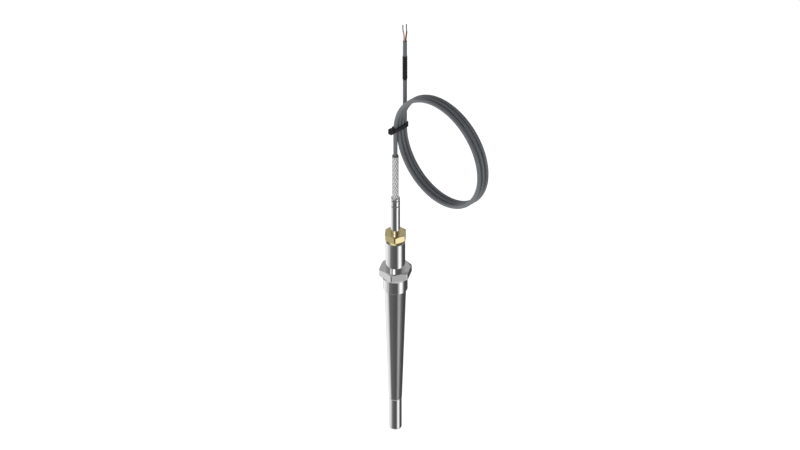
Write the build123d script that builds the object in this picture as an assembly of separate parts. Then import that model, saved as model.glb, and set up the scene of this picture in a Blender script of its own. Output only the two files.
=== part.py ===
from build123d import *
from math import cos, radians, sin, sqrt, tan
import os

# Temperature sensor: a cable probe clamped in a screw-in thermowell, in millimetres.
# The axis of the probe is Z, the cable leaves upward, and the origin is the centre
# of the sealing face under the large hexagon.
os.makedirs("parts", exist_ok=True)

# Thermowell, turned from hexagon bar in one piece
thread_diameter = 26.44
thread_length = 16.5
thread_chamfer = 0.5
collar_diameter = 30.0
collar_flare = 0.8
collar_height = 2.8
hex_across_flats = 32.0
hex_height = 9.0
hex_corner_radius = 1.6
hex_top_edge = 0.6
hex_top_angle = 30.0
hex_low_corner = 1.0
hex_low_angle = 30.0
neck_diameter = 21.2
neck_length = 33.8
neck_edge = 0.4
insertion_length = 200.0
stem_top_diameter = 23.2
stem_end_diameter = 14.2
tip_length = 39.2
tip_diameter = 13.6
tip_shoulder = 0.8
tip_edge_radius = 1.6
tip_wall = 6.0

# Brass nut that screws into the neck, and its ferrule
nut_across_flats = 22.0
nut_hex_height = 7.8
nut_corner_radius = 2.0
nut_top_edge = 0.6
nut_top_angle = 30.0
nut_low_angle = 30.0
nut_collar_edge = 0.2
nut_collar_flare = 0.5
nut_collar_height = 3.4
nut_heading = 12.2
nut_thread_diameter = 16.0
nut_thread_length = 11.0
ferrule_length = 6.0
ferrule_nose_wall = 0.4
ferrule_angle = 24.0

# Probe: sheath, transition sleeve and the rings between them
sheath_diameter = 6.0
sheath_wall = 0.5
sheath_end_wall = 0.8
sheath_in_sleeve = 12.0
sleeve_diameter = 10.0
sleeve_wall = 0.95
sleeve_above_nut = 45.4
sleeve_above_hex = 1.8
rim_radius = 1.0
groove_half_width = 1.5
groove_pitch = 7.2
groove_from_top = 3.9
bush_length = 8.0

# Strain relief: a braided tube with a moulded core
relief_height = 54.4
relief_in_sleeve = 6.2
relief_head = 1.0
relief_head_diameter = 6.8
braid_diameter = 7.4
braid_wall = 0.45
braid_bundles = 16
braid_rib_pitch = 3.1
braid_rib_depth = 0.15

# Cable: an upright run, a tied coil beside it and an upright end
cable_diameter = 4.6
cable_in_bush = 12.0
lower_run_length = 32.6
coil_turns = 3
coil_radius = 62.5
strand_gap = 0.2
coil_edge = 1.35
coil_steps = 6
end_run_length = 109.0
shrink_wall = 0.35
shrink_length = 31.3
shrink_height = 58.8

# Cable tie round the coil and the upright run
tie_width = 4.8
tie_thickness = 1.2
tie_rise = 1.5
head_length = 5.6
head_breadth = 5.6
head_height = 6.0
head_edge = 0.9

# Conductors at the free end
core_diameter = 1.6
core_length = 12.6
wire_diameter = 1.3
wire_length = 9.4
splay_heading = 45.0
splay_angles = [-3.5, 2.1]

# Sensing element and its wiring inside the probe
element_diameter = 2.8
element_length = 15.0
lead_diameter = 0.5
lead_spacing = 2.0
lead_bore = 0.8
lead_above_insulator = 18.0
insulator_recess = 2.0
splice_diameter = 1.6
splice_length = 9.0
splice_overlap = 4.0
inner_core_diameter = 1.4
potting_length = 20.0

# Handle of a Bezier curve that rounds a corner like a quarter circle
arc_handle = 0.5523

# Clearances
sliding_clearance = 0.3
sleeve_clearance = 0.15
thread_clearance = 0.15
relief_clearance = 0.2
seat_gap = 0.3
press_gap = 0.05
tie_gap = 0.35
core_gap = 0.2

# Heights along the axis that several pieces share
hex_bottom = collar_height
hex_top = hex_bottom + hex_height
neck_top = hex_top + neck_length
tip_top = tip_length - insertion_length
well_floor = tip_wall - insertion_length
nut_bottom = neck_top + seat_gap
nut_hex_bottom = nut_bottom + nut_collar_height
nut_top = nut_hex_bottom + nut_hex_height
nut_thread_end = nut_bottom - nut_thread_length
ferrule_top = nut_thread_end - seat_gap
ferrule_bottom = ferrule_top - ferrule_length
sleeve_shoulder = hex_top + sleeve_above_hex
sleeve_bottom = sleeve_shoulder + seat_gap
sleeve_top = nut_top + sleeve_above_nut
sheath_bottom = well_floor + seat_gap
sheath_top = sleeve_bottom + sheath_in_sleeve
relief_bottom = sleeve_top - relief_in_sleeve
relief_top = sleeve_top + relief_height
cable_end = relief_bottom - seat_gap - cable_in_bush
coil_centre = relief_top + lower_run_length
jacket_end = coil_centre + end_run_length
element_bottom = sheath_bottom + sheath_end_wall + seat_gap
element_top = element_bottom + element_length
insulator_bottom = element_top + seat_gap
insulator_top = sheath_top - insulator_recess
lead_top = insulator_top + lead_above_insulator
splice_bottom = lead_top - splice_overlap
splice_top = splice_bottom + splice_length

# Radii and offsets that several pieces share
well_radius = sheath_diameter / 2 + sliding_clearance
sleeve_radius = sleeve_diameter / 2
sleeve_inner = sleeve_radius - sleeve_wall
guide_radius = sleeve_radius + sleeve_clearance
gland_radius = nut_thread_diameter / 2 + thread_clearance
ferrule_inner = sleeve_radius + press_gap
ferrule_nose = ferrule_inner + ferrule_nose_wall
ferrule_outer = gland_radius - sliding_clearance
sheath_inner = sheath_diameter / 2 - sheath_wall
braid_radius = braid_diameter / 2
braid_inner = braid_radius - braid_wall
relief_hole = braid_radius + relief_clearance
cable_radius = cable_diameter / 2
cable_bore = cable_radius + press_gap
strand_pitch = cable_diameter + strand_gap
coil_drift = coil_turns * strand_pitch
seat_bottom = ferrule_bottom - seat_gap - (ferrule_nose - guide_radius) / tan(radians(ferrule_angle))


def turned(*edges):
    """Solid of revolution about Z from edges drawn as radius and height."""
    return revolve(Plane.XZ * make_face(list(edges)), Axis.Z)


def straight_edges(*points):
    """Straight edges from point to point."""
    return Polyline(*points).edges()


def quarter_round(start, corner, end):
    """Curve that rounds a right-angled corner, near enough a quarter circle."""
    handles = [tuple(a + (c - a) * arc_handle for a, c in zip(side, corner)) for side in (start, end)]
    return Bezier(start, *handles, end).edges()


def turned_outline(*points):
    """Solid of revolution about Z from a closed outline of straight lines."""
    return turned(*Polyline(*points, close=True).edges())


def ring(outer, inner, bottom, top):
    """Plain ring or tube between two heights."""
    return turned_outline((inner, bottom), (outer, bottom), (outer, top), (inner, top))


def rod(radius, bottom, top, x=0.0, y=0.0):
    """Plain round rod between two heights."""
    return extrude(Pos(x, y, bottom) * Circle(radius), top - bottom)


def lead_places():
    """Where the two wires run inside the probe."""
    return [-lead_spacing / 2, lead_spacing / 2]


def turned_hexagon(corner, edge_radius, bottom, top, low_circle, low_angle, top_circle, top_angle, heading):
    """Hexagon prism with rounded upright edges and its corners turned off at both ends."""
    low_rise = (corner - low_circle) * tan(radians(low_angle))
    top_fall = (corner - top_circle) * tan(radians(top_angle))
    hexagon = RegularPolygon(corner, 6)
    hexagon = Rot(0, 0, heading) * fillet(hexagon.vertices(), edge_radius)
    blank = Polyline(
        (0, bottom),
        (low_circle, bottom),
        (corner, bottom + low_rise),
        (corner, top - top_fall),
        (top_circle, top),
        (0, top),
        close=True,
    )
    return extrude(Pos(0, 0, bottom) * hexagon, top - bottom) & turned(*blank.edges())


# Thermowell: neck, hexagon, sealing collar, thread, tapered stem and closed tip
def make_thermowell():
    hex_corner = hex_across_flats / sqrt(3)
    hexagon = turned_hexagon(
        hex_corner,
        hex_corner_radius,
        hex_bottom,
        hex_top,
        hex_corner - hex_low_corner,
        hex_low_angle,
        hex_across_flats / 2 - hex_top_edge,
        hex_top_angle,
        0,
    )
    neck_radius = neck_diameter / 2
    neck = turned_outline(
        (0, hex_bottom),
        (neck_radius, hex_bottom),
        (neck_radius, neck_top - neck_edge),
        (neck_radius - neck_edge, neck_top),
        (0, neck_top),
    )
    thread_radius = thread_diameter / 2
    tip_radius = tip_diameter / 2
    tip_low = tip_edge_radius - insertion_length
    tip_flat = tip_radius - tip_edge_radius
    outside = straight_edges(
        (0, hex_bottom),
        (collar_diameter / 2 + collar_flare, hex_bottom),
        (collar_diameter / 2, 0),
        (thread_radius, 0),
        (thread_radius, thread_chamfer - thread_length),
        (thread_radius - thread_chamfer, -thread_length),
        (stem_top_diameter / 2, -thread_length),
        (stem_end_diameter / 2, tip_top + tip_shoulder),
        (tip_radius, tip_top),
        (tip_radius, tip_low),
    )
    tip_corner = quarter_round(
        (tip_radius, tip_low),
        (tip_radius, -insertion_length),
        (tip_flat, -insertion_length),
    )
    tip_end = straight_edges((tip_flat, -insertion_length), (0, -insertion_length), (0, hex_bottom))
    shank = turned(*outside, *tip_corner, *tip_end)
    seat_top = seat_bottom + (gland_radius - guide_radius) / tan(radians(ferrule_angle))
    bore = turned_outline(
        (0, well_floor),
        (well_radius, well_floor),
        (well_radius, sleeve_shoulder),
        (guide_radius, sleeve_shoulder),
        (guide_radius, seat_bottom),
        (gland_radius, seat_top),
        (gland_radius, neck_top),
        (0, neck_top),
    )
    return hexagon + neck + shank - bore


# Brass nut: hexagon, round collar and the male thread that presses on the ferrule
def make_gland_nut():
    flat_radius = nut_across_flats / 2
    hexagon = turned_hexagon(
        nut_across_flats / sqrt(3),
        nut_corner_radius,
        nut_hex_bottom,
        nut_top,
        flat_radius,
        nut_low_angle,
        flat_radius - nut_top_edge,
        nut_top_angle,
        nut_heading,
    )
    collar_radius = flat_radius - nut_collar_edge
    collar = turned_outline(
        (0, nut_bottom),
        (collar_radius - nut_collar_flare, nut_bottom),
        (collar_radius, nut_hex_bottom),
        (0, nut_hex_bottom),
    )
    thread = rod(nut_thread_diameter / 2, nut_thread_end, nut_bottom)
    return hexagon + collar + thread - rod(guide_radius, nut_thread_end, nut_top)


# Ferrule: the ring that the nut squeezes onto the sleeve, with a cone below
def make_ferrule():
    cone_top = ferrule_bottom + (ferrule_outer - ferrule_nose) / tan(radians(ferrule_angle))
    return turned_outline(
        (ferrule_inner, ferrule_bottom),
        (ferrule_nose, ferrule_bottom),
        (ferrule_outer, cone_top),
        (ferrule_outer, ferrule_top),
        (ferrule_inner, ferrule_top),
    )


# Transition sleeve: polished tube, rolled in at the top, with two crimp grooves
def make_transition_sleeve():
    groove_depth = sleeve_inner - relief_hole
    first_groove = sleeve_top - groove_from_top
    outside = [(sleeve_radius, sleeve_bottom)]
    inside = [(sleeve_inner, sleeve_bottom)]
    for centre in (first_groove - groove_pitch, first_groove):
        for side, radius in ((outside, sleeve_radius), (inside, sleeve_inner)):
            side.append((radius, centre - groove_half_width))
            side.append((radius - groove_depth, centre))
            side.append((radius, centre + groove_half_width))
    rim_low = (sleeve_radius, sleeve_top - rim_radius)
    rim_top = (sleeve_radius - rim_radius, sleeve_top)
    lip = [
        rim_top,
        (relief_hole, sleeve_top),
        (relief_hole, sleeve_top - sleeve_wall),
        (sleeve_inner, sleeve_top - rim_radius),
    ]
    rim = quarter_round(rim_low, (sleeve_radius, sleeve_top), rim_top)
    wall = straight_edges(*lip, *reversed(inside), outside[0])
    return turned(*straight_edges(*outside, rim_low), *rim, *wall)


# Sheath: thin tube closed at the tip, which reaches the floor of the well
def make_probe_sheath():
    outside = rod(sheath_diameter / 2, sheath_bottom, sheath_top)
    return outside - rod(sheath_inner, sheath_bottom + sheath_end_wall, sheath_top)


# Ring that joins the sheath to the wider sleeve
def make_reducing_bush():
    bore = sheath_diameter / 2 + press_gap
    return ring(sleeve_inner - press_gap, bore, sleeve_bottom, sleeve_bottom + bush_length)


# Ceramic tube with a bore for each lead
def make_element_insulator():
    body = rod(sheath_inner - press_gap, insulator_bottom, insulator_top)
    for place in lead_places():
        body -= rod(lead_bore / 2, insulator_bottom, insulator_top, place)
    return body


# Crimp that joins a lead to a core of the cable
def make_splice(place):
    body = rod(splice_diameter / 2, splice_bottom, splice_top, place)
    return body - rod(lead_diameter / 2 + press_gap, splice_bottom, splice_top, place)


# Core of the cable inside the sleeve, stripped where it enters its crimp
def make_core_wire(place):
    stripped = rod(lead_diameter / 2, splice_top - splice_overlap, splice_top + seat_gap, place)
    return stripped + rod(inner_core_diameter / 2, splice_top + seat_gap, cable_end, place)


# Resin plug round the two cores
def make_potting_plug():
    top = cable_end - seat_gap
    plug = rod(sleeve_inner - press_gap, top - potting_length, top)
    for place in lead_places():
        plug -= rod(inner_core_diameter / 2 + press_gap, top - potting_length, top, place)
    return plug


# Core of the strain relief: a tube with a head that closes the braid's upper end
def make_strain_relief_core():
    core_radius = braid_inner - press_gap
    return turned_outline(
        (cable_bore, relief_bottom),
        (core_radius, relief_bottom),
        (core_radius, relief_top - relief_head),
        (relief_head_diameter / 2, relief_top - relief_head),
        (relief_head_diameter / 2, relief_top),
        (cable_bore, relief_top),
    )


# Braid of the strain relief: a flat for each bundle of wires, and a rib where bundles cross
def make_braid_sleeve():
    top = relief_top - relief_head - press_gap
    count = round((top - relief_bottom) / braid_rib_pitch)
    half_pitch = (top - relief_bottom) / count / 2
    sections = []
    for step in range(2 * count + 1):
        reach = braid_radius - (0 if step % 2 else braid_rib_depth)
        sections.append(Pos(0, 0, relief_bottom + step * half_pitch) * RegularPolygon(reach, braid_bundles))
    return loft(sections, ruled=True) - rod(braid_inner, relief_bottom, top)


# Coil: the outer shape of its turns, one round in short steps that climb by one strand,
# because the turns lie side by side
def make_cable_coil():
    width = (coil_turns - 1) * strand_pitch + cable_diameter
    section = chamfer(Rectangle(cable_diameter, width).vertices(), coil_edge)
    middle = (coil_turns - 1) * strand_pitch / 2
    hub = Axis((coil_radius, 0, coil_centre), (0, 1, 0))
    turn = 360 / coil_steps
    coil = Part()
    for step in range(coil_steps):
        drift = strand_pitch * step / (coil_steps - 1)
        face = Pos(-coil_radius, middle + drift, 0) * section
        coil += revolve(Pos(coil_radius, 0, coil_centre) * Rot(0, step * turn, 0) * face, hub, turn)
    return coil


# Tie: a strap round all the strands with its head at one end
def make_cable_tie():
    middle = coil_centre + tie_rise
    inner = cable_radius + tie_gap
    outer = inner + tie_thickness
    strap_plane = Pos(0, coil_drift / 2, middle - tie_width / 2)
    strap = extrude(strap_plane * SlotCenterToCenter(coil_drift, 2 * outer, rotation=90), tie_width)
    strap -= extrude(strap_plane * SlotCenterToCenter(coil_drift, 2 * inner, rotation=90), tie_width)
    head_start = inner + tie_thickness / 2
    head = Pos(0, -head_start - head_length / 2, middle) * Box(head_breadth, head_length, head_height)
    far_edges = head.faces().sort_by(Axis.Y)[0].edges()
    return strap + chamfer(far_edges, head_edge)


# One insulated conductor with its bare end, leaning out of the jacket
def make_conductor(side, angle):
    heading = radians(splay_heading)
    offset = side * (core_diameter + core_gap) / 2
    foot = Vector(offset * cos(heading), coil_drift + offset * sin(heading), jacket_end + core_gap / 2)
    lean = radians(angle)
    aim = Vector(sin(lean) * cos(heading), sin(lean) * sin(heading), cos(lean))
    insulation = extrude(Plane(foot, z_dir=aim) * Circle(core_diameter / 2), core_length)
    bare = extrude(Plane(foot + aim * core_length, z_dir=aim) * Circle(wire_diameter / 2), wire_length)
    return insulation, bare


export_step(make_thermowell(), "parts/thermowell.step")
export_step(make_gland_nut(), "parts/gland_nut.step")
export_step(make_ferrule(), "parts/ferrule.step")
export_step(make_transition_sleeve(), "parts/transition_sleeve.step")
export_step(make_probe_sheath(), "parts/probe_sheath.step")
export_step(make_reducing_bush(), "parts/reducing_bush.step")
export_step(rod(element_diameter / 2, element_bottom, element_top), "parts/sensing_element.step")
export_step(make_element_insulator(), "parts/element_insulator.step")
for number, lead_place in enumerate(lead_places(), 1):
    lead = rod(lead_diameter / 2, element_top, lead_top, lead_place)
    export_step(lead, f"parts/element_lead_{number}.step")
    export_step(make_splice(lead_place), f"parts/splice_{number}.step")
    export_step(make_core_wire(lead_place), f"parts/core_wire_{number}.step")
export_step(make_potting_plug(), "parts/potting_plug.step")
cable_bush = ring(relief_hole - press_gap, cable_bore, cable_end, relief_bottom - seat_gap)
export_step(cable_bush, "parts/cable_bush.step")
export_step(rod(cable_radius, cable_end, relief_top), "parts/cable_entry.step")
export_step(make_strain_relief_core(), "parts/strain_relief_core.step")
export_step(make_braid_sleeve(), "parts/braid_sleeve.step")
export_step(rod(cable_radius, relief_top, coil_centre), "parts/cable_lower_run.step")
export_step(make_cable_coil(), "parts/cable_coil.step")
export_step(rod(cable_radius, coil_centre, jacket_end, 0, coil_drift), "parts/cable_end_run.step")
export_step(make_cable_tie(), "parts/cable_tie.step")
shrink_bottom = coil_centre + shrink_height
shrink = ring(cable_bore + shrink_wall, cable_bore, shrink_bottom, shrink_bottom + shrink_length)
export_step(Pos(0, coil_drift, 0) * shrink, "parts/shrink_sleeve.step")
for number, (side, angle) in enumerate(zip((-1, 1), splay_angles), 1):
    insulation, bare = make_conductor(side, angle)
    export_step(insulation, f"parts/conductor_insulation_{number}.step")
    export_step(bare, f"parts/bare_wire_{number}.step")
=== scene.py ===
from math import cos, pi, radians, sin

import bmesh
import bpy
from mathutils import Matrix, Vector


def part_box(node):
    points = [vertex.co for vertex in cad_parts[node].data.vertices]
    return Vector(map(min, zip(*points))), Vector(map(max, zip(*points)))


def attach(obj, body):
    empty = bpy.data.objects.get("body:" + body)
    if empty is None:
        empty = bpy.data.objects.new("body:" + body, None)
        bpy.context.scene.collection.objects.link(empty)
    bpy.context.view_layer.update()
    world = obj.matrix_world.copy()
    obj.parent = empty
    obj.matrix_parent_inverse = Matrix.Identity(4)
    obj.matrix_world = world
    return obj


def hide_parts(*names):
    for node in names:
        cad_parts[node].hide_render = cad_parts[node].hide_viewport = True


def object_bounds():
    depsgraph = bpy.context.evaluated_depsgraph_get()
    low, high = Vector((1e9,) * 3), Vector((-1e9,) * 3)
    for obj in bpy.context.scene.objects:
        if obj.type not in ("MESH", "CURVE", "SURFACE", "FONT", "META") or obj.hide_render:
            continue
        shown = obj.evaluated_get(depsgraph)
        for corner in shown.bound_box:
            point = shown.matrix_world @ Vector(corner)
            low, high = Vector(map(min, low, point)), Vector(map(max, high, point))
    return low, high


# Temperature sensor: a cable probe clamped in a screw-in thermowell, with its cable in a tied
# coil. Lengths are in metres, the probe's axis is Z and the cable leaves upward. The origin is
# the centre of the sealing face under the large hexagon.
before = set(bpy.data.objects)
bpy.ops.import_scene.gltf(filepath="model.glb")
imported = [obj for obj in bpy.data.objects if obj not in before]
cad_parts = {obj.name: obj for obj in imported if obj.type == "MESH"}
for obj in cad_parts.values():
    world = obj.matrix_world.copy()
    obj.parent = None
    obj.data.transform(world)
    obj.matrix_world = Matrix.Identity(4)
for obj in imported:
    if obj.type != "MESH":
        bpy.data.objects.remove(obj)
cad_low, cad_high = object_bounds()


# Camera: far away behind a very long lens, so that upright lines stay parallel. It looks down
# along the diagonal of a cube, at a point just above the brass nut's lower edge.
camera_heading = radians(45)
camera_elevation = radians(35.264)
camera_aim = Vector((0.0035, 0.0035, 0.0660))
seen_width = 0.856
lens_mm = 900
sensor_mm = 36
furthest_seen = 60

towards_camera = Vector((
    sin(camera_heading) * cos(camera_elevation),
    -cos(camera_heading) * cos(camera_elevation),
    sin(camera_elevation),
))
camera_data = bpy.data.cameras.new("camera")
camera_data.lens = lens_mm
camera_data.sensor_width = sensor_mm
camera_data.clip_end = furthest_seen
camera = bpy.data.objects.new("camera", camera_data)
camera.rotation_mode = "QUATERNION"
camera.rotation_quaternion = towards_camera.to_track_quat("Z", "Y")
camera.location = camera_aim + towards_camera * (seen_width * lens_mm / sensor_mm)
bpy.context.scene.collection.objects.link(camera)
bpy.context.scene.camera = camera


# Connection cable: a round grey jacket over two cores. It stands straight up out of the strain
# relief, makes three turns beside itself, which the tie holds to the upright stretch, and
# ends upright where it was stripped.
cable_diameter = 0.0046
relief_exit = (0, 0, 0.1569)
lower_points = [relief_exit, (0, 0, 0.1640), (0, 0, 0.1720), (0, 0, 0.1790)]
upper_points = [
    (0, 0.0144, 0.2010),
    (0, 0.0144, 0.2250),
    (0, 0.0144, 0.2500),
    (0, 0.0144, 0.2750),
    (0, 0.0144, 0.2985),
]
coil_turns = 3
coil_radius = 0.0625
coil_height = 0.1895
strand_pitch = 0.0048
fan = 0.07
points_per_turn = 24
cloud_scale = 220
cloud_share = 0.7
roughness_swing = 0.16


class Flow:
    """A socket of a material. Arithmetic on it adds Math nodes, and node() adds any other."""

    def __init__(self, tree, socket=None):
        self.tree = tree
        self.socket = socket

    def node(self, kind, settings, inputs, output=0):
        """Adds a node, with its settings first and then its sockets' values or links."""
        made = self.tree.nodes.new("ShaderNode" + kind)
        for name, value in settings.items():
            if name == "stops":
                ramp = made.color_ramp
                while len(ramp.elements) < len(value):
                    ramp.elements.new(1)
                for element, (place, shade) in zip(ramp.elements, value):
                    element.position = place
                    element.color = (shade, shade, shade, 1)
            else:
                setattr(made, name, value)
        for name, value in inputs.items():
            if isinstance(value, Flow):
                self.tree.links.new(value.socket, made.inputs[name])
            else:
                made.inputs[name].default_value = value
        return Flow(self.tree, made.outputs[output])

    def also(self, name):
        """Another output of the node that this socket is on."""
        return Flow(self.tree, self.socket.node.outputs[name])

    def math(self, operation, first, second=0.0):
        return self.node("Math", {"operation": operation}, {0: first, 1: second})

    def __add__(self, other):
        return self.math("ADD", self, other)

    __radd__ = __add__

    def __sub__(self, other):
        return self.math("SUBTRACT", self, other)

    def __rsub__(self, other):
        return self.math("SUBTRACT", other, self)

    def __mul__(self, other):
        return self.math("MULTIPLY", self, other)

    __rmul__ = __mul__

    def towards(self, other, share):
        """This value with a share of the way to another added."""
        return self + (other - self) * share

    def noise(self, scale, detail=3.0):
        """Even noise round a half, read at this place."""
        inputs = {"Vector": self, "Scale": scale, "Detail": detail, "Roughness": 0.6}
        return self.node("TexNoise", {}, inputs)

    def blend(self, first, second):
        """A colour between two, with this value as the share of the second."""
        inputs = {0: self, 6: (*first, 1), 7: (*second, 1)}
        return self.node("Mix", {"data_type": "RGBA"}, inputs, 2)

    def from_axis(self):
        """How far this place lies from the upright axis."""
        x = self.node("SeparateXYZ", {}, {0: self})
        y = x.also("Y")
        return self.math("SQRT", x * x + y * y)

    def reach(self, direction):
        """How far this place lies in a direction."""
        return self.node("VectorMath", {"operation": "DOT_PRODUCT"}, {0: self, 1: direction}, "Value")

    def fade(self, low, high):
        """Zero below one value, one above the other, and even between them."""
        return self.node("MapRange", {}, {"Value": self, "From Min": low, "From Max": high})

    def bump(self, height):
        """A surface that stands up by this many metres where the value is one."""
        return self.node("Bump", {}, {"Distance": height, "Height": self})


def new_finish(name, even):
    """A material whose shader has these even values, with the place on the piece."""
    material = bpy.data.materials.new(name)
    material.use_nodes = True
    shader = material.node_tree.nodes["Principled BSDF"]
    for socket, value in even.items():
        shader.inputs[socket].default_value = value
    place = Flow(material.node_tree).node("TexCoord", {}, {}, "Object")
    return material, shader, place


def feed(shader, flows):
    """Joins flows to the shader's sockets by name."""
    for name, flow in flows.items():
        flow.tree.links.new(flow.socket, shader.inputs[name])


def make_plastic(name, dull, bright, roughness, gloss, grain_scale, grain_height):
    """A moulded or extruded plastic: two close shades, a fine grain and a soft gloss."""
    material, shader, place = new_finish(name, {"Specular IOR Level": gloss})
    cloud = place.noise(cloud_scale, detail=4)
    grain = place.noise(grain_scale, detail=2)
    feed(shader, {
        "Base Color": (cloud * cloud_share + grain * (1 - cloud_share)).blend(dull, bright),
        "Roughness": cloud * roughness_swing + (roughness - roughness_swing / 2),
        "Normal": grain.bump(grain_height),
    })
    return material


jacket = make_plastic(
    "jacket",
    dull=(0.105, 0.114, 0.126),
    bright=(0.150, 0.160, 0.174),
    roughness=0.33,
    gloss=0.7,
    grain_scale=5200,
    grain_height=0.00003,
)

hoop = coil_radius / cos(pi / points_per_turn)
last_strand = strand_pitch * (coil_turns - 1) + strand_pitch / 2
cable_route = list(lower_points)
for step in range(coil_turns * points_per_turn):
    turned = (step + 0.5) / points_per_turn
    angle = 2 * pi * turned
    spread = 1 + fan * (1 - cos(angle))
    cable_route.append((
        coil_radius - hoop * cos(angle),
        last_strand + (strand_pitch * turned - last_strand) * spread,
        coil_height + hoop * sin(angle),
    ))
cable_route += upper_points


def make_tube(name, routes, radius, resolution, sides, material):
    """A piece of round tubes on smooth lines, closed at both ends."""
    curve = bpy.data.curves.new(name, "CURVE")
    curve.dimensions = "3D"
    for route in routes:
        spline = curve.splines.new("NURBS")
        spline.points.add(len(route) - 1)
        for point, place in zip(spline.points, route):
            point.co = (*place, 1)
        spline.order_u = 3
        spline.use_endpoint_u = True
        spline.resolution_u = resolution
    curve.bevel_depth = radius
    curve.bevel_resolution = sides // 4 - 1
    curve.use_fill_caps = True
    curve.materials.append(material)
    tube = bpy.data.objects.new(name, curve)
    bpy.context.scene.collection.objects.link(tube)
    return tube


cable = make_tube(
    "connection_cable",
    [cable_route],
    cable_diameter / 2,
    resolution=6,
    sides=24,
    material=jacket,
)
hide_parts("cable_lower_run", "cable_coil", "cable_end_run")
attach(cable, "probe")


# Shrink sleeve: black tubing shrunk onto the jacket near its end. It follows the cable with
# small waves and draws in at both of its cut ends.
shrink_low, shrink_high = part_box("shrink_sleeve")
shrink_rings = 40
shrink_end = 0.0012
shrink_draw = 0.00025
shrink_short = 0.0008
shrink_wave = 0.00005
shrink_ripples = 23
shrink_swells = 9
shrink_swell_start = 1
cable_play = 0.00002
sharp_angle = radians(40)


def make_turned(name, outline, centre, sides, material):
    """A closed ring-shaped piece turned about an upright line from radii and heights."""
    mesh = bpy.data.meshes.new(name)
    places = []
    faces = []
    rows = len(outline)
    for side in range(sides):
        angle = 2 * pi * side / sides
        for radius, height in outline:
            places.append((centre.x + radius * cos(angle), centre.y + radius * sin(angle), height))
        for row in range(rows):
            here = side * rows
            beside = (side + 1) % sides * rows
            above = (row + 1) % rows
            faces.append((here + row, beside + row, beside + above, here + above))
    mesh.from_pydata(places, [], faces)
    return finish_mesh(name, mesh, material)


def finish_mesh(name, mesh, material):
    """Links a mesh as a piece with its material, and smooths all but its sharp edges."""
    mesh.materials.append(material)
    shape = bmesh.new()
    shape.from_mesh(mesh)
    bmesh.ops.recalc_face_normals(shape, faces=shape.faces)
    shape.to_mesh(mesh)
    shape.free()
    mesh.shade_smooth()
    mesh.set_sharp_from_angle(angle=sharp_angle)
    piece = bpy.data.objects.new(name, mesh)
    bpy.context.scene.collection.objects.link(piece)
    return piece


shrink_black = make_plastic(
    "shrink_black",
    dull=(0.008, 0.008, 0.009),
    bright=(0.014, 0.014, 0.015),
    roughness=0.5,
    gloss=0.35,
    grain_scale=3000,
    grain_height=0.00002,
)

shrink_bottom = shrink_low.z + shrink_short
shrink_outer = (shrink_high.x - shrink_low.x) / 2
shrink_inner = cable_diameter / 2 + cable_play
shrink_outline = [(shrink_inner, shrink_high.z), (shrink_inner, shrink_bottom)]
for ring in range(shrink_rings + 1):
    share = ring / shrink_rings
    height = shrink_bottom + (shrink_high.z - shrink_bottom) * share
    from_end = min(height - shrink_bottom, shrink_high.z - height)
    drawn = shrink_draw * max(0, 1 - from_end / shrink_end) ** 2
    swell = sin(shrink_swells * share + shrink_swell_start)
    wave = shrink_wave * sin(shrink_ripples * share) * swell
    shrink_outline.append((shrink_outer - shrink_wave - drawn + wave, height))
shrink_centre = (shrink_low + shrink_high) / 2
shrink = make_turned("shrink_tubing", shrink_outline, shrink_centre, sides=32, material=shrink_black)
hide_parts("shrink_sleeve")
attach(shrink, "probe")


# Conductors: two insulated cores that spread as they leave the jacket, one pale and one red.
# Their bare ends are seven tinned strands each, twisted together.
spread_direction = Vector((1, 1, 0)).normalized()
crosswise = Vector((-spread_direction.y, spread_direction.x, 0))
jacket_axis = Vector((0, 0.0144, 0))
core_radius = 0.0009
core_routes = {
    "pale": [
        (-0.0007, 0.2970),
        (-0.0007, 0.3006),
        (-0.0010, 0.3060),
        (-0.0016, 0.3095),
        (-0.0019, 0.3113),
    ],
    "red": [
        (0.0008, 0.2970),
        (0.0009, 0.3006),
        (0.0013, 0.3050),
        (0.0018, 0.3090),
        (0.0019, 0.3111),
    ],
}
wire_routes = {
    "pale": [
        (-0.0018, 0.3105),
        (-0.0021, 0.3135),
        (-0.0022, 0.3160),
        (-0.0022, 0.3192),
    ],
    "red": [
        (0.0018, 0.3103),
        (0.0016, 0.3130),
        (0.0015, 0.3165),
        (0.0017, 0.3204),
    ],
}
strand_radius = 0.00025
strands_round = 6
strand_steps = 14
strand_lay = 0.0055
rounding = 1e-9
tarnish_scale = 1500
tarnish_swing = 0.3
tinned_roughness = 0.3


def spread_place(offset, height):
    """A point beside the jacket's axis, along the line on which the cores spread."""
    return jacket_axis + spread_direction * offset + Vector((0, 0, height))


def strand_route(wire, place):
    """The line of one strand that is wound round the wire's middle."""
    low, high = wire[0][1], wire[-1][1]
    route = []
    for step in range(strand_steps):
        height = low + (high - low) * step / (strand_steps - 1)
        for (offset, bottom), (next_offset, top) in zip(wire, wire[1:]):
            if height <= top + rounding:
                middle = offset + (next_offset - offset) * (height - bottom) / (top - bottom)
                break
        angle = 2 * pi * (place / strands_round + (height - low) / strand_lay)
        reach = 2 * strand_radius
        aside = crosswise * reach * sin(angle)
        route.append(spread_place(middle + reach * cos(angle), height) + aside)
    return route


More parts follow.
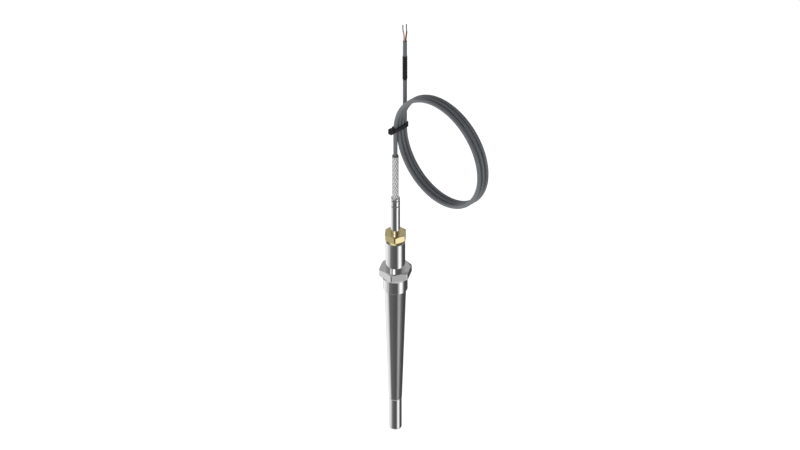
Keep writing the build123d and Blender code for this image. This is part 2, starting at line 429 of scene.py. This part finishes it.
insulation = {
    "pale": make_plastic(
        "pale_insulation",
        dull=(0.42, 0.27, 0.25),
        bright=(0.52, 0.36, 0.33),
        roughness=0.45,
        gloss=0.4,
        grain_scale=4000,
        grain_height=0.00002,
    ),
    "red": make_plastic(
        "red_insulation",
        dull=(0.17, 0.030, 0.025),
        bright=(0.25, 0.050, 0.040),
        roughness=0.45,
        gloss=0.4,
        grain_scale=4000,
        grain_height=0.00002,
    ),
}
tinned, shader, place = new_finish("tinned_copper", {"Metallic": 1.0})
tarnish = place.noise(tarnish_scale, detail=4)
feed(shader, {
    "Base Color": tarnish.blend((0.32, 0.30, 0.28), (0.50, 0.48, 0.46)),
    "Roughness": tarnish * tarnish_swing + tinned_roughness,
})

cores = []
for number, colour in enumerate(("pale", "red"), 1):
    core_line = [spread_place(offset, height) for offset, height in core_routes[colour]]
    core = make_tube(
        f"core_{colour}",
        [core_line],
        core_radius,
        resolution=8,
        sides=16,
        material=insulation[colour],
    )
    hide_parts(f"conductor_insulation_{number}")
    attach(core, "probe")
    wire = wire_routes[colour]
    strand_lines = [[spread_place(offset, height) for offset, height in wire]]
    strand_lines += [strand_route(wire, place_round) for place_round in range(strands_round)]
    strands = make_tube(
        f"strands_{colour}",
        strand_lines,
        strand_radius,
        resolution=3,
        sides=8,
        material=tinned,
    )
    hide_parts(f"bare_wire_{number}")
    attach(strands, "probe")
    cores += [core, strands]


# Cable tie: one moulded black strap round the upright stretch and the coil's turns. Its head
# sits at the near end with the strap's cut tail in its slot.
tie_low, tie_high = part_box("cable_tie")
strap_thickness = 0.0012
strap_share = 0.8
strap_rim = 0.001
strap_channel = 0.00025
channel_slope = 0.0005
strap_steps = 16
edge_round = 0.0003
head_length = 0.0056
head_bevel = 0.0009
slot_margin = 0.0011
slot_depth = 0.0012
tail_length = 0.0007
facing = 0.99

tie_black = make_plastic(
    "tie_black",
    dull=(0.008, 0.008, 0.009),
    bright=(0.016, 0.016, 0.018),
    roughness=0.38,
    gloss=0.5,
    grain_scale=2600,
    grain_height=0.00003,
)

strap_outer = tie_high.x
strap_inner = strap_outer - strap_thickness
strap_far = tie_high.y - strap_outer
strap_middle = (tie_low.z + tie_high.z) / 2
strap_half = (tie_high.z - tie_low.z) / 2 * strap_share
strap_section = [
    (strap_inner, -strap_half + edge_round),
    (strap_inner + edge_round, -strap_half),
    (strap_outer - edge_round, -strap_half),
    (strap_outer, -strap_half + edge_round),
    (strap_outer, -strap_half + strap_rim),
    (strap_outer - strap_channel, -strap_half + strap_rim + channel_slope),
    (strap_outer - strap_channel, strap_half - strap_rim - channel_slope),
    (strap_outer, strap_half - strap_rim),
    (strap_outer, strap_half - edge_round),
    (strap_outer - edge_round, strap_half),
    (strap_inner + edge_round, strap_half),
    (strap_inner, strap_half - edge_round),
]
strap_places = []
strap_faces = []
strap_stations = []
for end, start in ((strap_far, 0), (0, pi)):
    for step in range(strap_steps + 1):
        strap_stations.append((end, start + pi * step / strap_steps))
for station, (end, angle) in enumerate(strap_stations):
    for reach, rise in strap_section:
        strap_places.append((reach * cos(angle), end + reach * sin(angle), strap_middle + rise))
    for corner in range(len(strap_section)):
        here = station * len(strap_section)
        beside = (station + 1) % len(strap_stations) * len(strap_section)
        above = (corner + 1) % len(strap_section)
        strap_faces.append((here + corner, beside + corner, beside + above, here + above))
strap_mesh = bpy.data.meshes.new("tie_strap")
strap_mesh.from_pydata(strap_places, [], strap_faces)
strap = finish_mesh("tie_strap", strap_mesh, tie_black)


def make_block(name, low, high, bevel, segments, material, open_side=None):
    """A box with rounded edges and, on one side, a sunk slot."""
    shape = bmesh.new()
    bmesh.ops.create_cube(shape, size=1)
    middle = (Vector(low) + Vector(high)) / 2
    size = Vector(high) - Vector(low)
    bmesh.ops.scale(shape, vec=size, verts=shape.verts)
    bmesh.ops.translate(shape, vec=middle, verts=shape.verts)
    bmesh.ops.bevel(
        shape,
        geom=shape.edges,
        offset=bevel,
        segments=segments,
        profile=0.5,
        affect="EDGES",
    )
    if open_side is not None:
        faces = [face for face in shape.faces if face.normal.dot(open_side) > facing]
        side = max(faces, key=lambda face: face.calc_area())
        bmesh.ops.inset_region(shape, faces=[side], thickness=slot_margin)
        bmesh.ops.inset_region(shape, faces=[side], thickness=0, depth=-slot_depth)
    mesh = bpy.data.meshes.new(name)
    shape.to_mesh(mesh)
    shape.free()
    return finish_mesh(name, mesh, material)


head_half = head_length / 2
head_low = (-head_half, tie_low.y, tie_low.z)
head_high = (head_half, tie_low.y + head_length, tie_high.z)
head = make_block(
    "tie_head",
    head_low,
    head_high,
    head_bevel,
    segments=3,
    material=tie_black,
    open_side=Vector((0, -1, 0)),
)
tail_low = (-strap_thickness / 2, tie_low.y - tail_length, strap_middle - strap_half)
tail_high = (strap_thickness / 2, tie_low.y + slot_depth, strap_middle + strap_half)
tail = make_block("tie_tail", tail_low, tail_high, edge_round, segments=2, material=tie_black)
for piece in (strap, head, tail):
    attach(piece, "probe")
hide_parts("cable_tie")


# Strain relief core: a moulded rubber tube that the cable passes through. Only its head shows,
# above the braid.
def dress(material, *names):
    """Gives frame nodes their finish."""
    for name in names:
        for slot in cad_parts[name].material_slots:
            slot.material = material


rubber = make_plastic(
    "relief_rubber",
    dull=(0.10, 0.10, 0.105),
    bright=(0.15, 0.15, 0.155),
    roughness=0.55,
    gloss=0.4,
    grain_scale=2500,
    grain_height=0.00003,
)
dress(rubber, "strain_relief_core", "cable_bush")
dress(jacket, "cable_entry")


# Braid: sixteen flat bundles of stainless wire over the strain relief, eight wound each way,
# that pass over and under each other. Its ends sit under the core's head and in the sleeve.
braid_low, braid_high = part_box("braid_sleeve")
bundles_each_way = 8
braid_lay = 0.046
bundle_wires = 5
bundle_width = 0.0015
bundle_thickness = 0.00034
wire_relief = 0.00011
weave_depth = 0.0002
steps_per_crossing = 6
wire_metallic = 0.45
wire_roughness = 0.25
scuff_scale = 900
scuff_swing = 0.2
painted_shade_share = 0.7
painted_gap_shade = (0.08, 0.08, 0.08)
wire_shade = (1.0, 1.0, 1.0)

braid_outer = braid_high.x
bundle_middle = braid_outer - wire_relief - bundle_thickness / 2 - weave_depth

steel_braid, shader, place = new_finish("braided_wire", {"Metallic": wire_metallic})
scuffs = place.noise(scuff_scale, detail=4)
# The wires' base colour holds painted shade: it darkens from the bundles' tops down to the gap floor
# between them, where shade falls, mixed with random scuffs.
gap_floor = braid_outer - bundle_thickness - weave_depth
painted_gap_shade_mask = place.from_axis().fade(gap_floor, braid_outer - wire_relief)
feed(shader, {
    "Base Color": (painted_gap_shade_mask * painted_shade_share + scuffs * (1 - painted_shade_share)).blend(painted_gap_shade, wire_shade),
    "Roughness": scuffs * scuff_swing + wire_roughness,
})

braid_height = braid_high.z - braid_low.z
crossing_turn = pi / bundles_each_way
braid_turn = 2 * pi * braid_height / braid_lay
braid_steps = round(braid_turn / crossing_turn * steps_per_crossing)
slant = braid_lay / (2 * pi)
stride = (bundle_middle ** 2 + slant ** 2) ** 0.5
bundle_section = []
for ridge in range(2 * bundle_wires + 1):
    across = bundle_width * (ridge / (2 * bundle_wires) - 0.5)
    rise = bundle_thickness / 2 + (wire_relief if ridge % 2 else 0)
    bundle_section.append((across, rise))
bundle_section += [
    (bundle_width / 2, -bundle_thickness / 2),
    (-bundle_width / 2, -bundle_thickness / 2),
]
corners = len(bundle_section)

braid_places = []
braid_faces = []
for way in (1, -1):
    for bundle in range(bundles_each_way):
        first = len(braid_places)
        for step in range(braid_steps + 1):
            turned = braid_turn * step / braid_steps
            middle = bundle_middle + way * weave_depth * cos(bundles_each_way * turned)
            angle = way * turned + 2 * pi * bundle / bundles_each_way
            for across, rise in bundle_section:
                radius = middle + rise
                aside = angle - way * across * slant / stride / bundle_middle
                height = braid_low.z + slant * turned + across * bundle_middle / stride
                height = min(max(height, braid_low.z), braid_high.z)
                braid_places.append((radius * cos(aside), radius * sin(aside), height))
        for step in range(braid_steps):
            here = first + step * corners
            beside = here + corners
            for corner in range(corners):
                above = (corner + 1) % corners
                braid_faces.append((here + corner, beside + corner, beside + above, here + above))
        braid_faces.append(tuple(range(first, first + corners)))
        last = first + braid_steps * corners
        braid_faces.append(tuple(range(last, last + corners)))
braid_mesh = bpy.data.meshes.new("wire_braid")
braid_mesh.from_pydata(braid_places, [], braid_faces)
braid = finish_mesh("wire_braid", braid_mesh, steel_braid)
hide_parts("braid_sleeve")
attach(braid, "probe")


# Transition sleeve and sheath: drawn stainless tube, ground and polished bright along its
# length, with two grooves rolled in that grip the cable. The sheath below it has the same finish.
steel_cloud_scale = 60
steel_cloud_share = 0.6
steel_swing = 0.03
streaks_each_radian = 2


def make_steel(name, dark, light, roughness, line_pitch, line_height):
    """Bright steel with the fine rings that turning or grinding leaves."""
    material, shader, place = new_finish(name, {"Metallic": 1.0})
    x = place.node("SeparateXYZ", {}, {0: place})
    heading = place.math("ARCTAN2", x.also("Y"), x) * (line_pitch * streaks_each_radian)
    rings = place.node("CombineXYZ", {}, {0: place.from_axis(), 1: x.also("Z"), 2: heading})
    lines = rings.noise(1 / line_pitch, detail=2)
    cloud = place.noise(steel_cloud_scale, detail=3)
    feed(shader, {
        "Base Color": (cloud * steel_cloud_share + lines * (1 - steel_cloud_share)).blend(dark, light),
        "Roughness": cloud * steel_swing + lines * steel_swing + (roughness - steel_swing),
        "Normal": lines.bump(line_height),
    })
    return material


polished = make_steel(
    "polished_tube",
    dark=(0.78, 0.78, 0.79),
    light=(0.86, 0.86, 0.86),
    roughness=0.09,
    line_pitch=0.0003,
    line_height=0.0000003,
)
dress(polished, "transition_sleeve", "probe_sheath", "reducing_bush")


# Gland nut and ferrule: turned from brass hexagon bar. The nut presses the ferrule onto the
# sleeve and seals the well.
brass = make_steel(
    "turned_brass",
    dark=(0.80, 0.66, 0.35),
    light=(0.86, 0.74, 0.41),
    roughness=0.12,
    line_pitch=0.0004,
    line_height=0.0000006,
)
dress(brass, "gland_nut", "ferrule")


# Thermowell: turned in one piece from stainless hexagon bar, with a long taper down to a
# closed tip.
turned_steel = make_steel(
    "turned_steel",
    dark=(0.76, 0.76, 0.76),
    light=(0.84, 0.84, 0.84),
    roughness=0.09,
    line_pitch=0.0004,
    line_height=0.0000004,
)
dress(turned_steel, "thermowell")


# Measuring parts inside the sheath: a ceramic element on two wires in a twin-bore ceramic, the
# crimps to the cable's cores and the resin plug round them.
ceramic = make_plastic(
    "fired_ceramic",
    dull=(0.78, 0.77, 0.72),
    bright=(0.88, 0.87, 0.83),
    roughness=0.6,
    gloss=0.3,
    grain_scale=3000,
    grain_height=0.00002,
)
dress(ceramic, "sensing_element", "element_insulator")
resin = make_plastic(
    "cast_resin",
    dull=(0.09, 0.09, 0.09),
    bright=(0.14, 0.14, 0.14),
    roughness=0.35,
    gloss=0.5,
    grain_scale=1500,
    grain_height=0.00001,
)
dress(resin, "potting_plug")
dress(tinned, "element_lead_1", "element_lead_2", "splice_1", "splice_2")
dress(insulation["pale"], "core_wire_1")
dress(insulation["red"], "core_wire_2")


# Studio: a pale floor below the sensor, a white surround and one soft lamp. Polished metal shows
# rings of light and dark screens: upright faces the level ring, the taper the low ring, the nut's
# collar the collar ring and top faces the upper and high rings.
floor_drop = 0.4
floor_radius = 3.0
surround_light = 0.60
from_right = 0.06
from_front = 0.20
from_below = 0.20
groove_light = 0.14
floor_light = 0.65
floor_glow = 0.7
floor_sides = 96
floor_dull = (0.84, 0.84, 0.84)
floor_bright = (0.86, 0.86, 0.86)
speckle_scale = 40

# Where the mirrored rings change, as the steepness of the mirrored direction, from -1 to 1.
level_edge = (-0.608, -0.588)
groove_edge = (-0.655, -0.635)
collar_edge = (-0.76, -0.735)
floor_edge = (-0.86, -0.82)
upper_edge = (0.1, 0.3)
high_edge = (0.66, 0.74)

# Each ring as angles and brightness. The angle is 0 towards the camera and grows to the right.
low_screens = [
    (-180, 0.40),
    (-163, 0.60),
    (-146, 0.98),
    (-128, 1.09),
    (-108, 1.00),
    (-96, 0.84),
    (-82, 0.62),
    (-72, 0.20),
    (-64, 0.15),
    (-37, 0.135),
    (-20, 0.105),
    (14, 0.09),
    (21, 0.14),
    (31, 0.38),
    (44, 0.48),
    (52, 0.37),
    (60, 0.28),
    (70, 0.12),
    (90, 0.075),
    (180, 0.07),
]
level_screens = [
    (-180, 0.40),
    (-163, 0.55),
    (-146, 0.92),
    (-128, 1.08),
    (-107, 0.97),
    (-89, 0.76),
    (-76, 0.58),
    (-64.5, 0.64),
    (-61, 0.20),
    (-46, 0.17),
    (-22, 0.12),
    (13, 0.10),
    (20, 0.15),
    (25, 0.30),
    (29, 0.48),
    (36, 0.72),
    (44, 1.30),
    (62, 1.30),
    (70, 0.95),
    (79, 0.24),
    (85, 0.10),
    (110, 0.07),
    (180, 0.07),
]
upper_screens = [
    (-180, 0.42),
    (-135, 0.42),
    (-116, 0.33),
    (-76, 0.30),
    (-68, 0.12),
    (-64, 0.95),
    (-46, 0.92),
    (-41, 0.20),
    (-31, 0.20),
    (-27, 2.20),
    (-8, 2.00),
    (-1, 0.25),
    (14, 0.14),
    (60, 0.12),
    (100, 0.42),
    (180, 0.42),
]
high_screens = [
    (-180, 0.42),
    (-130, 0.50),
    (-70, 0.35),
    (-40, 0.12),
    (60, 0.10),
    (110, 0.25),
    (180, 0.42),
]
collar_screens = [
    (-180, 0.30),
    (-120, 0.35),
    (-95, 0.60),
    (-72, 0.90),
    (-14, 0.90),
    (0, 0.60),
    (14, 0.28),
    (28, 0.14),
    (110, 0.12),
    (180, 0.20),
]
lamp_angle = radians(-50)
lamp_distance = 2.0
lamp_size = 1.2
lamp_power = 14

scene = bpy.context.scene
scene.view_settings.view_transform = "Standard"

world = bpy.data.worlds.new("studio")
world.use_nodes = True
scene.world = world
camera_ray = Flow(world.node_tree).node("LightPath", {}, {}, "Is Camera Ray")
direction = camera_ray.node("TexCoord", {}, {}, "Generated")
sideways = direction.reach((cos(camera_heading), sin(camera_heading), 0))
frontways = direction.reach((sin(camera_heading), -cos(camera_heading), 0))
upward = direction.reach((0, 0, 1))
around = sideways.math("ARCTAN2", sideways, frontways) * (0.5 / pi) + 0.5


def ring_of(screens):
    """Brightness by the angle round the sensor, from pairs of angle and brightness."""
    stops = [(angle / 360 + 0.5, light) for angle, light in screens]
    return around.node("ValToRGB", {"stops": stops}, {"Fac": around})


mirrored = ring_of(low_screens).towards(ring_of(level_screens), upward.fade(*level_edge))
mirrored = mirrored.towards(groove_light, 1 - upward.fade(*groove_edge))
mirrored = mirrored.towards(ring_of(collar_screens), 1 - upward.fade(*collar_edge))
mirrored = mirrored.towards(floor_light, 1 - upward.fade(*floor_edge))
mirrored = mirrored.towards(ring_of(upper_screens), upward.fade(*upper_edge))
mirrored = mirrored.towards(ring_of(high_screens), upward.fade(*high_edge))
shown = surround_light + frontways * from_front + sideways * from_right - upward * from_below
shown = shown.towards(mirrored, camera_ray.also("Is Glossy Ray"))
shown = shown.towards(1.0, camera_ray + camera_ray.also("Is Transmission Ray"))
world.node_tree.links.new(shown.socket, world.node_tree.nodes["Background"].inputs["Color"])

floor_mesh = bpy.data.meshes.new("floor")
floor_shape = bmesh.new()
bmesh.ops.create_circle(floor_shape, cap_ends=True, segments=floor_sides, radius=floor_radius)
floor_shape.to_mesh(floor_mesh)
floor_shape.free()
floor = bpy.data.objects.new("floor", floor_mesh)
floor.location.z = cad_low.z - floor_drop
floor.visible_glossy = False
scene.collection.objects.link(floor)
floor_finish, shader, place = new_finish("pale_floor", {
    "Roughness": 0.9,
    "Emission Color": (1, 1, 1, 1),
    "Emission Strength": floor_glow,
})
speckle = place.noise(speckle_scale, detail=2)
feed(shader, {"Base Color": speckle.blend(floor_dull, floor_bright)})
floor_mesh.materials.append(floor_finish)

lamp_data = bpy.data.lights.new("soft_lamp", "AREA")
lamp_data.size = lamp_size
lamp_data.energy = lamp_power
lamp = bpy.data.objects.new("soft_lamp", lamp_data)
lamp_heading = camera_heading + lamp_angle
lamp.location = Vector((sin(lamp_heading), -cos(lamp_heading), 0)) * lamp_distance
lamp.rotation_mode = "QUATERNION"
lamp.rotation_quaternion = lamp.location.to_track_quat("Z", "Y")
lamp.visible_glossy = False
scene.collection.objects.link(lamp)
